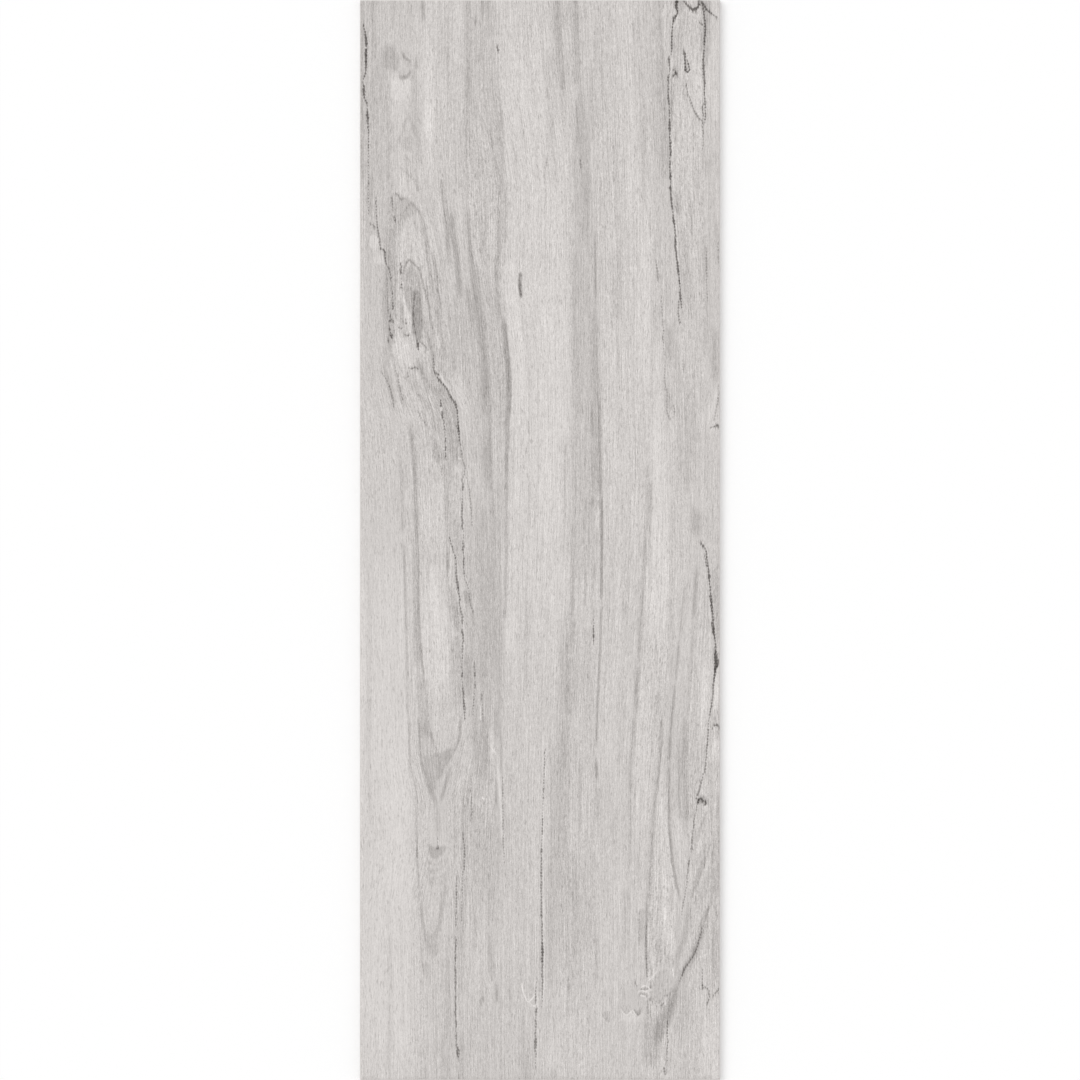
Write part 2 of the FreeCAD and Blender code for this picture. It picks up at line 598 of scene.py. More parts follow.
# White chips: half width, path
CHIPS = drawn("""
0.7  641.6,987 644,985.8 647,986.2
0.8  639.4,991.4 642,990.6 646,991.6
0.7  641,995.6 645,996.4
0.7  648.6,987.4 650.8,990.2
0.4  622.6,1012.4 626.6,1015 630.4,1012.4 632.6,1010
0.4  633.6,1011 635.6,1014.6 638,1016.8
0.5  649,980 653,976 657,971
0.6  672.8,970 673.4,976
0.8  365.5,47.6 366.2,48
0.7  521.2,338 521.6,339
0.7  520.3,346 520.7,347
0.9  441,408 441.6,409
0.6  443,449 444,449
0.8  459,458.4 460.6,458.8
0.9  494,750 495,752
0.9  482,797.6 484,799
0.9  664.6,1002 665.4,1004
0.7  521.8,986 524.2,995 528,1002 531,999.6 534.4,995.6
0.9  532.4,1005.4 535,1006
""")

# Places whose fine grain is quieter: share of its usual strength, half width, softness, path
QUIET = drawn("""
0.62 28 20  383,420 382,640 383,800 385,1140
0.5 9 5  672,958 656,1008
0.6 8 5  629,978 635,1018
""")

# Checks, the dark splits: strength, then points with a half width. A check breaks where that is below 0
LEFT_CHECKS = drawn("""
1.4  363.6,26,0.3 365.4,34,0.6 366,42,1.1 366,46,0.9 365.8,48,-0.4 366,50,1 366,61,1 365.4,74,0.5 \
    363.2,79,0.2 363.2,82,-0.4
1.3  363.4,83,-0.2 364,86,0.9 364.2,94,1 364.8,100,0.4 366.6,102,0.8 367.2,107,0.2 367.4,113,0.9 \
    367.6,121,1 368.4,128,0.3 368.6,150,0.1 368.4,178,-0.1 368.6,215,0
1  376,198,0.3 376.5,215,0.3 377,223,0.8 377.6,227,0.2 378.5,233,0.8 380.6,248,0.4
0.8  371,224,0.4 374,226,0.5
1.2  380.8,249.4,0.4 383.6,249.4,0.5 384.6,252,0.9 385.2,260,0.4 386.6,265,0 389,270,0.1 \
    391,277,0.3 391.2,281,0
0.6  387,280,0.2 388,310,0.2
1.1  400.8,264,0.3 401,273,0.9 401.2,277,-0.2 401.5,286,0.4 401.4,289,0.2
1.1  392.6,294,0 393,304,0.4 393,308,0.9 392.2,311,-0.2 390.6,314,-0.2 390.2,316,1.1 \
    389.8,318,-0.2 389.6,320.6,1.1
1.2  391.4,320,0.2 392.6,320.2,1.1 393,322.6,0.4
1.1  389.6,327,-0.3 389.5,329.4,1 390.4,332,-0.2 391.4,335,1.3 391.6,338,0.4
0.9  388,340.4,0.3 388.4,342.4,0.7
0.3  402.6,279,0.3 403.6,270,0.6 405.6,264,0.7 409,260,0.8 412,262.6,0.7 418.4,268.6,0.9 \
    420.4,273,0.9 427,299,0.3
0.2  404.6,171,0.4 413.6,181,0.6 418,190,0.5 422,203,0.5 425,218,0.3
0.22  399,224,0.4 403,214,0.7 407,208,0.8 411,203.6,0.8 415,207,0.7 419,212,0.5
0.14  402,247,0.2 405,242,0.4 409.6,238,0.5 414,241,0.4 418,248,0.2
0.14  402,256,0.2 405,250,0.4 409.6,246,0.5 415,249,0.4 420,257,0.2
0.14  403,262,0.2 406,256.6,0.4 410,253,0.5 416,256,0.4 422,263,0.2
0.8  392,198,0.6 393,212,0.1
0.5  396,194,0.5 398.6,195.4,0.5 400.4,198.4,0.2 401.6,199,0.7 404,198.6,0.6
1  394.2,217.6,0.9 394.8,219,0.2 395.4,221.6,0.8
0.75  415.4,294,0.4 414.6,299,0.7 414,302,-0.2 413.8,306,0.6 413.4,310,0 413.2,314,0.8 \
    413.4,318,-0.2 413.6,323,0.6 414.2,327,-0.1 415.4,334,0.6
1.4  417.2,341,0.3 417.5,344,1.1 418.5,351,0.2
0.9  405.4,320,0.3 405.6,323,0.7 405.6,325,0.2
0.8  399,327.6,0.4 401,328.4,0.6 403,328,0.3
0.9  405.6,335,0.4 408,335.8,0.7 409.6,335.4,0.3
0.66  420,342,0.4 425,346,0.5 429,351,0.3
1.15  433,356,0 434,363,0.7 434,370,0.7 436,373.4,1 439.6,375.2,0.4
1.2  437.6,377.6,0.5 438.8,379.4,1 442,383,0.4 446,388,0.5 452.5,400,1 455.5,404,1 457.5,416,0.4 \
    458.5,430,0.8 460.6,446,-0.2
0.7  460.4,445,0.2 463,460,0.3 465,466,0.4 464.5,474,0.3 462,480,0.2
1.15  463,484,0.3 463,488,0.7 462.6,494,-0.2 462,505,0.5 462.8,528,0.6 463.4,532,0 463,549,0.7 \
    463.6,554,-0.2 463.9,558,0.5 463.6,564,0.5 464,569,0 464.3,573,0.5 464.6,578,-0.2
0.6  467,478,0.2 470.5,500,0.3 472,525,0.2
1.2  440.8,400,0.2 441,406.4,0.9 441.4,409,-0.4 442.5,412,0.9 442.5,417,0.9 443.4,419,0.1 \
    444,422,0.8 444.2,425,0 444.5,429,0.7 445,434,-0.2 445.5,440,0.6 445.5,443,0 445.5,448,0.7 \
    445.8,452,0.1 446,455,0.6 446.2,459,-0.2
0.9  409,367.6,0.5 412,368.6,0.8 415,367.6,0.7 418,368.4,0.4
0.8  407.8,373.4,0.3 408.2,376,0.7 408.6,378,0.2
0.7  381,371,0.1 385,377,0.3 389,386,0.3 393,398,0.3 393.2,402,0.2 393.5,405,0.8 394.4,408,0.2
0.7  395,368,0.2 398,378,0.3 401.4,395,0.2 402,398,0.8 403.4,401,0.2
0.8  418,413,0.2 426.4,425,0.2
0.5  440.8,466,0.2 441.4,470,0.8 441,476,0.2
1.2  450,538,0.2 451.5,545,0.4 455,556,0.4 455.8,563,0.3 457,581,1 459.5,596,0.4 459.6,603,0.3 \
    462.3,617,0.6 462.6,623,0.6 462.4,627,-0.3 462,631,0.8 463,636,0.6 463.4,641,0.6
1.1  462.6,643,0.4 462.4,651,0.6 462.4,654,0 462.4,657,0.6 462.2,662,-0.2 462,667,0.6 462,671,0 \
    462,676,0.7 461.8,680,-0.3 463.2,690,0.8 464,704,0.9 465,720,0.2
0.7  456.7,608,0.2 459.4,624,0.2
0.7  464.6,580,0.2 467.4,585,0.3 469,592,0.3 470,603,0.5 473,611,0.4
0.9  474.6,664,0.2 474.7,668,0.7 474.7,671,0 474.8,674,0.8 475,679,-0.2 475.2,685,0.6 474.6,690,0 \
    474,697,0.4 473,716,0.1
0.6  471,776,0.1 471.6,810,0.6 472,818,0.2
0.9  463.4,836,0.2 463.6,842,0.3 464.4,846,0.5 464.5,853,0.6 464.4,857,0.2 464.2,868,0.5 \
    463.4,870,0 462.6,872,0.5 462.5,878,0.2 462.4,896,0.1
1  456.6,880,0.1 456.4,884,0.5 456.4,888,0.2 456.4,893,0.6 456.4,897,0.2 456.4,906,0.5 \
    456.2,909,-0.1 456,912,0.8 455.8,915,0.1 455.7,918.6,0.8 455.8,921,0.1 456,924.6,0.7 \
    455.9,928,-0.4 455.8,935,-0.3 455.7,940,0.6 455.4,950,0.6 455.4,953,0.2 455.4,959,0.6 \
    455.4,965,0 455.4,969,0.6 455.4,990,0.5 455.6,994,0.2 455.7,997,0.9 455.4,1000,0.5 \
    455.4,1013,0.6 455.7,1017,-0.1 456,1022,0.9 456.3,1030,0 456.3,1035,0.9 456.3,1041.4,0.1 \
    456.4,1044,0.8 457,1046.4,0.3 457.6,1049,1.1 457.8,1054,1 458,1061,-0.3
0.6  458.4,1072,0.2 458.8,1090,0.3
0.5  461.6,902,0.3 461.6,922,0.3
0.9  437.9,839,0.1 437.9,845,0.3 437.9,848,1.1 437.9,850,0.4
0.4  416.8,850,0.8 417,856,0.8
0.6  475,23,0.5 475.2,25,0.5
""")
MIDDLE_CHECKS = drawn("""
1.2  497,47.6,0.6 498,49.6,1 498.6,51.8,0.8
0.5  546.5,160,0.4 546.6,164,0.8 546.6,167,0.3
0.7  580.4,161,0.2 580.5,165,0.7 580.6,169,0.2
0.3  519.4,275,0.6 521.4,275.4,0.6
0.35  519,280.6,0.3 520.2,283,0.6 519,286,0.5 519.4,288.6,0.2
0.6  520.6,285,0 520.4,289,0.6 520.8,292,0.1 521,296,0.4
0.5  526.4,448.6,0.6 526.6,451,0.6
1.2  593.5,620,0 593.5,633,0.6 593.5,635.6,1.3 593.5,638,0.5 593.5,642,0.3
0.7  481.6,696,0.4 482,698.6,0.5 482.2,702,-0.2 482.6,708,0.3 482.8,720,0.3
0.75  502.6,778,0.1 502.9,796,0.4 503,801,0.1 503,827,0.5 503.1,833,0.1 503.2,840,0.4 \
    504.4,864,0.2
1.15  545,750,0 543.3,797,0.3 543,806,0 542.5,823,0.5 542.4,826,0 542.5,830,0.6 542.2,836,0.1 \
    541.7,846,0.1 541.6,850,0.6 541.5,855,0.2 541.5,860,0.6 541.4,865,0.3 541.3,876,0.8 \
    541.3,879,0.1 541.3,884,0.7 541.3,891,0.8 541.3,896,0.3 541.5,910,0.7 541.6,917,0.8 \
    541.8,920,0.2 542,925,0.9 542,929,0.3 542,934,0.6 542.1,939,0.3
1.35  542.1,940,0.2 542.4,951,1.2 542.4,956,0.8 542.4,960,0.9 542.3,963,0.4
1  542.3,962,0.4 542.4,965,0.9 542.4,971,0.7 542.5,990,0.5 542,1008,-0.2
1  536.8,979,0 535.6,992,0.2 535.6,1001,0.6 535.8,1004,-0.3 536.1,1006,-0.2 536.3,1009,0.9 \
    536,1016,0.6 536,1018.6,0.1 536,1023,0.7 535.7,1036,0.4 535.6,1040,1.1 535.6,1047,1 \
    535.6,1051,0.4 535.6,1066,0
""")
RIGHT_CHECKS = drawn("""
0.5  646.6,920,0.3 646,952,0.5 647.4,978,0.4
0.5  647.4,998,0.3 647.7,1009,0.9 648.2,1018,0
0.5  639.4,914,0.2 639.2,945,0.2
0.65  656.4,262,0.2 657.6,273,0.8 657.8,282,0.1
0.85  661.6,298,0 662.4,315,0.4 662.6,318,0.1 662.8,322,0.8 663,325,0.1 663.5,331,0.3 \
    663.2,336,0.1 662.8,339,0.9 663.2,342,0.1 664,356,0
0.6  665,366,0.1 664.6,376,0.4 665,383,0.4 666.8,392,0.4 667,410,0.4 667.4,414,0.5 671,420,0.5
0.5  673.6,406,0.2 674.6,411,0.6 674,415,0.4 672,418,0.2
1.5  676.6,-4,1 676.5,8,1.2 678.2,12.6,-0.3 677.2,14,0.5 674,18.5,1.2 673.2,22,0.4 672,33,0.5 \
    671.7,47,0.6 671.2,56,0
1.35  669,56.4,0.2 668.9,59,1.1 669.4,67,0.2 669.2,73,0.1 668.5,78,0.7 668.2,94,0.4 668.7,98,1 \
    669.3,108,0.3 669.6,112,0.7 669.7,117,0.3 669.7,126,1.1 669.8,136,0.3 670.2,147,0.9 \
    670.3,151,0.4 670.5,154.5,1 670.1,158,0.2 670,165,0.6 670,170,0.5 670.3,176,1.1 670.4,181,0.2 \
    670.5,185,0.2 670.6,190,1.1 670.8,194,0.7 671,199,1.1 671.5,203,0.6 672.3,207.4,1.2 \
    672.9,211,0.2 673.4,216,0.3 673.8,221.5,1.2 674.5,225,0.5 675.3,234,0.5 675.5,246,1.1 \
    675.9,251,0.7 678,270,1.1 678.7,273,0.4 679.5,283,0.6 680,288,0.3 680.3,294,1 680.7,299,0.9 \
    681,302,0.2 681.4,305,0.5 681.6,309,0
1  679.6,299,0.1 678.7,302,0.4 678.5,314,0.6 680,324,0.1
1.5  684,1.6,0.4 690,7.6,1.2 694,9.6,1.5 697,8,1.3 698.6,5.6,0.9 699,-3,1
1.3  700.6,-3,0.7 703,6,0.9 703.4,9,0.5 705,22,0.6 705.3,30,0.8 704.5,40,0.8 704,49,0.3 \
    703.4,63.5,0.9 704.5,83,0.9 704.5,88,0.5 705.2,113,0.4 704.8,124,0.1
1  703.4,104,0.2 702.7,109,0.3 702.8,119,0.3 703,150,0
1.2  699.4,23,0.3 701.6,24.6,0.5 704,25,0.4
1.3  703.6,4,0.6 706,8.6,0.8 708.4,11.4,1 712,14,0.6 719,18.6,0.4
1.2  683.8,51,0.2 684.2,53.6,1.3 684.6,57,0.6 685.2,65,0.6
1.4  685.4,67,0.4 685.2,69.6,0.8 686.8,71.8,0.7 688.6,71.2,0.6 689.4,69,0.4 687.4,61,0.3
1.4  673,75.4,0.7 674.4,74.8,0.8 675.6,73.6,1.6 675.8,72,0.9
0.6  673.6,70.4,0.7 675.4,69.4,0.5
1  686,86,0 688.4,95.6,0.3 695,112.6,0.5 699.4,118.6,0.7 701.8,121,0.4 702.4,128,0.1
0.8  706.4,249,0 706.4,262,0.6 706.7,280,0 707.6,302,0
0.5  717.6,244,0.1 718.8,268,0.2
0.8  718.6,386,0.2 718.4,396,0.3 716.4,409,0.4 714,419,0.3
1.2  711.4,427.4,0.1 716,426.6,0.8 717.2,425.6,1.2 717.6,424,0.6
0.5  682.6,361,0.2 683.4,371,0.3
1.5  701.4,543.6,0.4 702.6,545.4,0.9 705.6,549.4,0.1 706.6,552,0.5 706.8,556,0.4 708.8,573,0.6 \
    709,577,1.5 709.3,580,0.6 710.4,593,0.5 710.8,598,1 712.8,619,0.7 713.2,629,1.2 715.3,641,0.3 \
    715.6,646,0.6 715.3,650,0.4
0.9  704.8,556,0.2 705.2,559,0.5 706.6,567,0.2
1.9  715.3,651.6,0.5 715.4,654.6,1.6 716.2,665,1.7 715.4,668,1.2 713.9,681,0.3
1.5  716.6,663,1 718.6,665,0.7 719.4,666.6,0.3
1.1  714,679,0.5 711.8,703,0.6 708.7,721,0.3 708,736,0.4 705.4,766,0.4 705.2,771,0.6 704.4,773,0.1 \
    703,775,0.3 702,781,0.4 699.2,790.6,0.8 696.8,796,0.6
1.1  696.6,798.6,0.6 698.6,798.8,0.8 700,798.4,0.4
1.5  698.4,800,0.6 698.2,801.6,0.9 697.4,803.6,0.4
1.5  700.8,798.6,0.5 702.2,799.4,1 703,801.4,0.6 704.8,801.6,0.7 706,803.4,0.9 705,804.6,0.5
0.85  697.4,804,0.3 694.3,820,0.3 693.8,824,0.7 692.4,837,0.3 692,841,0.8 691.7,845,0.4 \
    691.5,849,0.9 690.4,855,-0.3 688.7,864,0.9 688.4,867,0.2 688,872,0.4 686,890,0 683.2,904,0.4 \
    681.6,916,0
1.2  712.4,728,0.1 714,725.8,0.5 716.4,725,0.8 718.2,726,1 718.8,727.4,0.5
0.8  703,926,0.2 697,947,0.3 695,952,0.7 691,960,0.3 685.6,967,0.3 682.6,974,0.9 681,977.6,0.3 \
    679.6,981,0.2
1  667.4,1024,0.1 667.6,1036,0.3 666.8,1062,0.1
0.9  664.2,1068.6,0.2 664.6,1072,0.4 665.2,1075.6,0.2
0.7  650,1000,0.3 655.6,1004,0.3 657,1008,0.2
0.8  661,1005.6,0.7 663,1004.4,0.6 664.4,1002,0.4
0.8  664.6,996,0.3 668.6,994.6,0.4
1.3  702.2,970,0 702.4,980,0.2 701.9,983,0.3 702.4,986,0.9 703,988,0.5
1.1  705,986.8,0.2 707.4,988.6,0.3 708.8,991,0.3 709,995,0.4 709.6,998,-0.1 708.6,1001,0.5 \
    707.4,1002.4,0.2
1  713,995,0.3 720,988,0.6
0.6  715.6,995,0.2 719.6,992,0.4
0.6  641,989.4,0.3 646,989.6,0.5 650,987.6,0.3
0.6  640,994.4,0.2 645,993.8,0.4
0.6  635.4,984,0.5 637,986,0.4
0.4  636,1012.6,0.4 638.6,1015,0.6 640.8,1012.4,0.3
0.35  604,1018,0.3 609.4,1021.4,0.4
0.4  641,988.8,0.4 645.6,988.6,0.5 648,990,0.3
0.35  640,993.6,0.3 645.6,994.2,0.5
0.35  651,998,0.3 656,1001.6,0.6 660,1003.4,0.5
0.25  661,1001,0.4 664,996,0.4 668,994.4,0.5 674,991,0.4
0.3  621,1007,0.3 626,1013.4,0.6 630,1010.6,0.5 633,1009,0.3
0.3  634.4,1010,0.4 637.4,1014.8,0.7 640,1014,0.6 642,1007,0.4
""")
CHECKS = LEFT_CHECKS + MIDDLE_CHECKS + RIGHT_CHECKS

# Lines that the fibres follow from end to end, from beyond the left side of the plank to beyond the right
FIBRES = drawn("""
290,0 290,1080
340,0 340,200 350,400 360,700 360,1080
392,0 390,190 386,300 388,340 397,385 408,425 413,470 417,560 419,640 421,700 422,752 429,783 \
    433,800 432,850 421,905 424,945 426,1080
424,0 422,120 428,200 440,260 446,310 448,350 449,392 457,410 460,440 462,500 458,590 462,640 \
    464,720 458,750 450,783 446,800 448,850 455,905 456,1080
468,0 467,130 468,200 472,255 480,300 485,360 488,420 490,480 492,560 495,700 496,800 490,880 \
    489,950 490,1080
484,0 486,90 492,140 500,185 498,270 500,303 508,360 508,420 507,500 505,700 503,800 504,870 \
    503,1080
556,0 563,85 572,140 574,200 573,300 572,500 568,600 564,700 561,800 560,1080
592,0 594,100 597,200 600,400 602,540 601,620 597,700 597,800 597,1080
640,0 645,100 649,200 650,480 646,560 640,640 635,700 631,760 630,1080
658,0 663,60 667,120 668,190 671,240 672,420 672,590 668,690 661,740 655,800 651,850 647,920 \
    646,980 648,1080
677,0 671,40 669,100 670,180 675,240 680,300 682,370 685,460 688,560 680,640 673,700 669,770 \
    669,830 677,892 674,960 668,1030 666,1080
701,0 704,120 705,260 706,340 703,440 701,540 697,595 692,650 687,722 685,795 688,852 686,925 \
    690,1000 690,1080
720,0 720,1080
750,0 750,1080
""")


def smoothed(path, closed=False):
    """A path with points added, so that it runs through the drawn ones in a curve."""
    points = np.array(path, float)
    if len(points) < 3:
        return points
    if closed:
        points = np.vstack([points[-1:], points, points[:2]])
    else:
        points = np.vstack([2 * points[0] - points[1], points, 2 * points[-1] - points[-2]])
    t = np.linspace(0, 1, PATH_STEPS, endpoint=False)[:, None]
    runs = []
    for a, b, c, d in zip(points, points[1:], points[2:], points[3:]):
        bend = (2 * a - 5 * b + 4 * c - d) * t**2 + (3 * b - a - 3 * c + d) * t**3
        runs.append(b + ((c - a) * t + bend) / 2)
    return np.vstack(runs + [points[-2:-1]])


def near(points, path, reach):
    """Which points lie in the box round a path, with this much room."""
    low = path.min(0) - reach
    high = path.max(0) + reach
    return np.flatnonzero(np.all((points >= low) & (points <= high), axis=1))


def measured(points, path):
    """How far each point is from a path, how far along it that is, and the path's length."""
    distance = np.full(len(points), np.inf)
    along = np.zeros(len(points))
    length = 0.0
    for start, end in zip(path, path[1:]):
        step = end - start
        run = np.hypot(*step)
        if run == 0:
            continue
        share = np.clip((points - start) @ step / run**2, 0, 1)
        off = np.hypot(*(points - start - share[:, None] * step).T)
        closer = off < distance
        distance[closer] = off[closer]
        along[closer] = length + share[closer] * run
        length += run
    return distance, along, length


def eased(low, high, value):
    """0 below low, 1 above high, and a smooth step between."""
    t = np.clip((value - low) / (high - low), 0, 1)
    return t * t * (3 - 2 * t)


def inside(points, outline):
    """Which points a closed outline goes round."""
    x, y = points.T
    within = np.zeros(len(points), bool)
    for (x0, y0), (x1, y1) in zip(outline, np.roll(outline, -1, axis=0)):
        if y0 == y1:
            continue
        crosses = (y0 > y) != (y1 > y)
        within ^= crosses & (x < (x1 - x0) * (y - y0) / (y1 - y0) + x0)
    return within


def blend_tone(tone, chosen, cover, target):
    """Moves the tone of the chosen points to a target, as far as they are covered."""
    tone[chosen] += cover * (target - tone[chosen])


def paint_stroke(tone, points, end_fade, target, half_width, softness, path):
    """A stroke along a path, with soft sides and faded ends."""
    path = smoothed(path)
    chosen = near(points, path, half_width + softness)
    distance, along, length = measured(points[chosen], path)
    fade = min(max(end_fade, FADE_WIDTHS * half_width), FADE_SHARE * length)
    cover = 1 - eased(half_width - softness / 2, half_width + softness / 2, distance)
    cover *= eased(0, fade, along) * eased(0, fade, length - along)
    blend_tone(tone, chosen, cover, target)


def paint_patch(tone, points, target, softness, corners):
    """A filled outline with a soft edge."""
    outline = smoothed(corners, closed=True)
    chosen = near(points, outline, softness)
    distance = measured(points[chosen], outline)[0]
    depth = np.where(inside(points[chosen], outline[:-1]), distance, -distance)
    blend_tone(tone, chosen, eased(-softness / 2, softness / 2, depth), target)


def chip_edge(half_width):
    """How far from a chip's middle its edge starts and ends."""
    return [share * half_width for share in CHIP_EDGE]


def paint_chip(tone, points, half_width, path):
    """A white chip, which doesn't fade at its ends."""
    path = smoothed(path)
    start, end = chip_edge(half_width)
    chosen = near(points, path, end)
    distance = measured(points[chosen], path)[0]
    blend_tone(tone, chosen, 1 - eased(start, end, distance), CHIP_TONE)


def figure_tone(points):
    """The grey level of the print at each point of the sheet, before its fine grain."""
    tone = np.full(len(points), PLAIN_TONE)
    for stroke in GROUND:
        paint_stroke(tone, points, GROUND_FADE, *stroke)
    for stroke in LINES:
        paint_stroke(tone, points, LINE_FADE, *stroke)
    for patch in PATCHES:
        paint_patch(tone, points, *patch)
    for chip in CHIPS:
        paint_chip(tone, points, *chip)
    return tone + PORE_LIFT


def grain_vigour(points, tone):
    """How strong the fine grain is at each point: more on dark bands, less in the quiet places."""
    vigour = np.interp(tone, VIGOUR_TONES, VIGOUR)
    calm = np.ones(len(points))
    for stroke in QUIET:
        paint_stroke(calm, points, GROUND_FADE, *stroke)
    return vigour * calm


def beaded(number, path):
    """A check as it really runs, with a waver: its middle, the way across, half widths and beads."""
    random = np.random.default_rng(number)
    stations, across = resampled(smoothed(path), BEAD_STEP)
    middle = stations[:, :2] + across * random.normal(0, CHECK_WAVER, len(stations))[:, None]
    swell = np.resize(BEAD_SWELL, len(stations)) * random.uniform(*BEAD_SPREAD, len(stations))
    half_width = np.clip(stations[:, 2] + swell, -CHECK_EDGE, None)
    beads = 1 + BEAD_CONTRAST * random.uniform(-1, 1, len(stations))
    return middle, across, half_width, beads


def check_ink(points):
    ink = np.zeros(len(points))
    for number, (strength, path) in enumerate(CHECKS):
        middle, _, widths, beads = beaded(number, path)
        chosen = near(points, middle, widths.max() + CHECK_EDGE)
        distance, along, length = measured(points[chosen], middle)
        stations = np.linspace(0, length, len(beads))
        half_width = np.interp(along, stations, widths)
        cover = 1 - eased(half_width - CHECK_EDGE, half_width + CHECK_EDGE, distance)
        cover *= np.interp(along, stations, beads)
        ink[chosen] = np.maximum(ink[chosen], strength * cover)
    return ink


def across_grain(points):
    """Where each point lies across the plank when its fibres are pulled straight, in sheet units."""
    x, y = points.T
    lines = [np.array(line) for (line,) in FIBRES]
    bent = [np.interp(y, line[:, 1], line[:, 0]) for line in lines]
    ladder = np.arange(SHEET_TOP, SHEET_BOTTOM, ROW_STEP)
    straight = [np.interp(ladder, line[:, 1], line[:, 0]).mean() for line in lines]
    place = np.array(x)
    for left, right, start, end in zip(bent, bent[1:], straight, straight[1:]):
        between = (x >= left) & (x < right)
        share = (x - left) / np.maximum(right - left, 1)
        place = np.where(between, start + share * (end - start), place)
    return place


def resampled(path, step):
    """Points evenly spaced along a path, with all their values, and the direction across it at each."""
    runs = np.hypot(*np.diff(path[:, :2], axis=0).T)
    reach = np.concatenate([[0], np.cumsum(runs)])
    places = np.linspace(0, reach[-1], max(2, round(reach[-1] / step) + 1))
    points = np.column_stack([np.interp(places, reach, values) for values in path.T])
    ahead = np.gradient(points[:, :2], axis=0)
    ahead /= np.maximum(np.hypot(*ahead.T), TINY)[:, None]
    return points, np.column_stack([-ahead[:, 1], ahead[:, 0]])


def rows_beside(middle, across, offsets):
    """Rows of points on both sides of a path."""
    return [middle + side * across * np.reshape(offset, (-1, 1)) for offset in offsets for side in (1, -1)]


def stroke_points():
    """Extra points that give the lines, checks, chips and patches crisp edges."""
    rows = []
    for _, half_width, softness, path in LINES:
        if half_width < NARROW:
            offsets = max(0, half_width - softness / 2), half_width + softness / 2
            rows += rows_beside(*resampled(smoothed(path), LINE_STEP), offsets)
    for _, softness, corners in PATCHES:
        rows += rows_beside(*resampled(smoothed(corners, closed=True), PATCH_STEP), [softness / 2])
    for number, (_, path) in enumerate(CHECKS):
        middle, across, half_width, _ = beaded(number, path)
        offsets = 0, np.maximum(0, half_width - CHECK_EDGE), half_width + CHECK_EDGE
        rows += rows_beside(middle, across, offsets)
    for half_width, path in CHIPS:
        rows += rows_beside(*resampled(smoothed(path), BEAD_STEP), (0, *chip_edge(half_width)))
    points = np.vstack(rows[::-1])
    cells = np.round(points / CROWDING).astype(int)
    return points[np.unique(cells, axis=0, return_index=True)[1]]


def regular_points(left, right, top, bottom):
    """A staggered field of points over the face."""
    columns = np.arange(left + COLUMN_STEP, right - COLUMN_STEP / 2, COLUMN_STEP)
    rows = np.arange(top + ROW_STEP / 2, bottom - ROW_STEP / 3, ROW_STEP)
    x, y = np.meshgrid(columns, rows)
    x[1::2] += COLUMN_STEP / 2
    return np.column_stack([x.ravel(), y.ravel()])


def edge_points(left, right, top, bottom):
    """Points round the rim of the face, its corners among them."""
    across = np.linspace(left, right, round((right - left) / COLUMN_STEP) + 1)
    down = np.linspace(top, bottom, round((bottom - top) / ROW_STEP) + 1)[1:-1]
    sides = [(across, top), (across, bottom), (left, down), (right, down)]
    return np.vstack([np.column_stack(np.broadcast_arrays(x, y)) for x, y in sides])


def clear_of(points, others):
    """The points that have none of the others close to them."""
    cells = {tuple(cell) for cell in np.floor(others / CLEARANCE).astype(int)}
    keep = []
    for x, y in np.floor(points / CLEARANCE).astype(int):
        around = ((x + i, y + j) for i in (-1, 0, 1) for j in (-1, 0, 1))
        keep.append(cells.isdisjoint(around))
    return points[keep]


def face_triangles():
    """The face as flat triangles on the sheet: points, triples of points, and the face's limits."""
    rim = FACE_BEVEL / UNIT
    limits = SHEET_LEFT + rim, SHEET_RIGHT - rim, SHEET_TOP + rim, SHEET_BOTTOM - rim
    left, right, top, bottom = limits
    edge = edge_points(*limits)
    strokes = stroke_points()
    x, y = strokes.T
    inset = np.minimum.reduce([x - left, right - x, y - top, bottom - y])
    strokes = clear_of(strokes[inset > CLEARANCE], edge)
    regular = clear_of(regular_points(*limits), np.vstack([edge, strokes]))
    points = np.vstack([edge, strokes, regular])
    flat = [Vector((x, -y * SQUEEZE)) for x, y in points]
    found, _, triangles, *_ = delaunay_2d_cdt(flat, [], [], 0, MERGE)
    points = np.array([(v.x, -v.y / SQUEEZE) for v in found])
    return points, triangles, limits


def relief(tone, ink):
    """How far below the top of the plank each point lies."""
    depth = TONE_DEPTH * np.clip(PALEST - tone, 0, None) + CHECK_DEPTH * ink
    return np.minimum(depth, DEEPEST)


def placed(points, limits, depth):
    """The sheet's points on the plank. Those on the rim slide along the bevel as they sink."""
    left, right, top, bottom = limits
    x = LOW.x + (points[:, 0] - SHEET_LEFT) * UNIT
    y = HIGH.y - (points[:, 1] - SHEET_TOP) * UNIT
    x += depth * (np.isclose(points[:, 0], right).astype(int) - np.isclose(points[:, 0], left))
    y += depth * (np.isclose(points[:, 1], top).astype(int) - np.isclose(points[:, 1], bottom))
    return np.column_stack([x, y, HIGH.z - depth])


def cad_rest():
    """The CAD plank's walls and back, with their points welded: points and polygons."""
    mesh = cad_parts[NODE].data
    points = np.array([v.co for v in mesh.vertices])
    rings = [list(polygon.vertices) for polygon in mesh.polygons]
    rings = [ring for ring in rings if points[ring, 2].min() < BEVEL_FOOT - WELD]
    used = np.unique(np.concatenate(rings))
    cells = np.round(points[used] / WELD).astype(int)
    _, first, number = np.unique(cells, axis=0, return_index=True, return_inverse=True)
    welded = dict(zip(used.tolist(), number.ravel().tolist()))
    rings = [[welded[v] for v in ring] for ring in rings]
    return points[used][first], [ring for ring in rings if len(set(ring)) > 2]


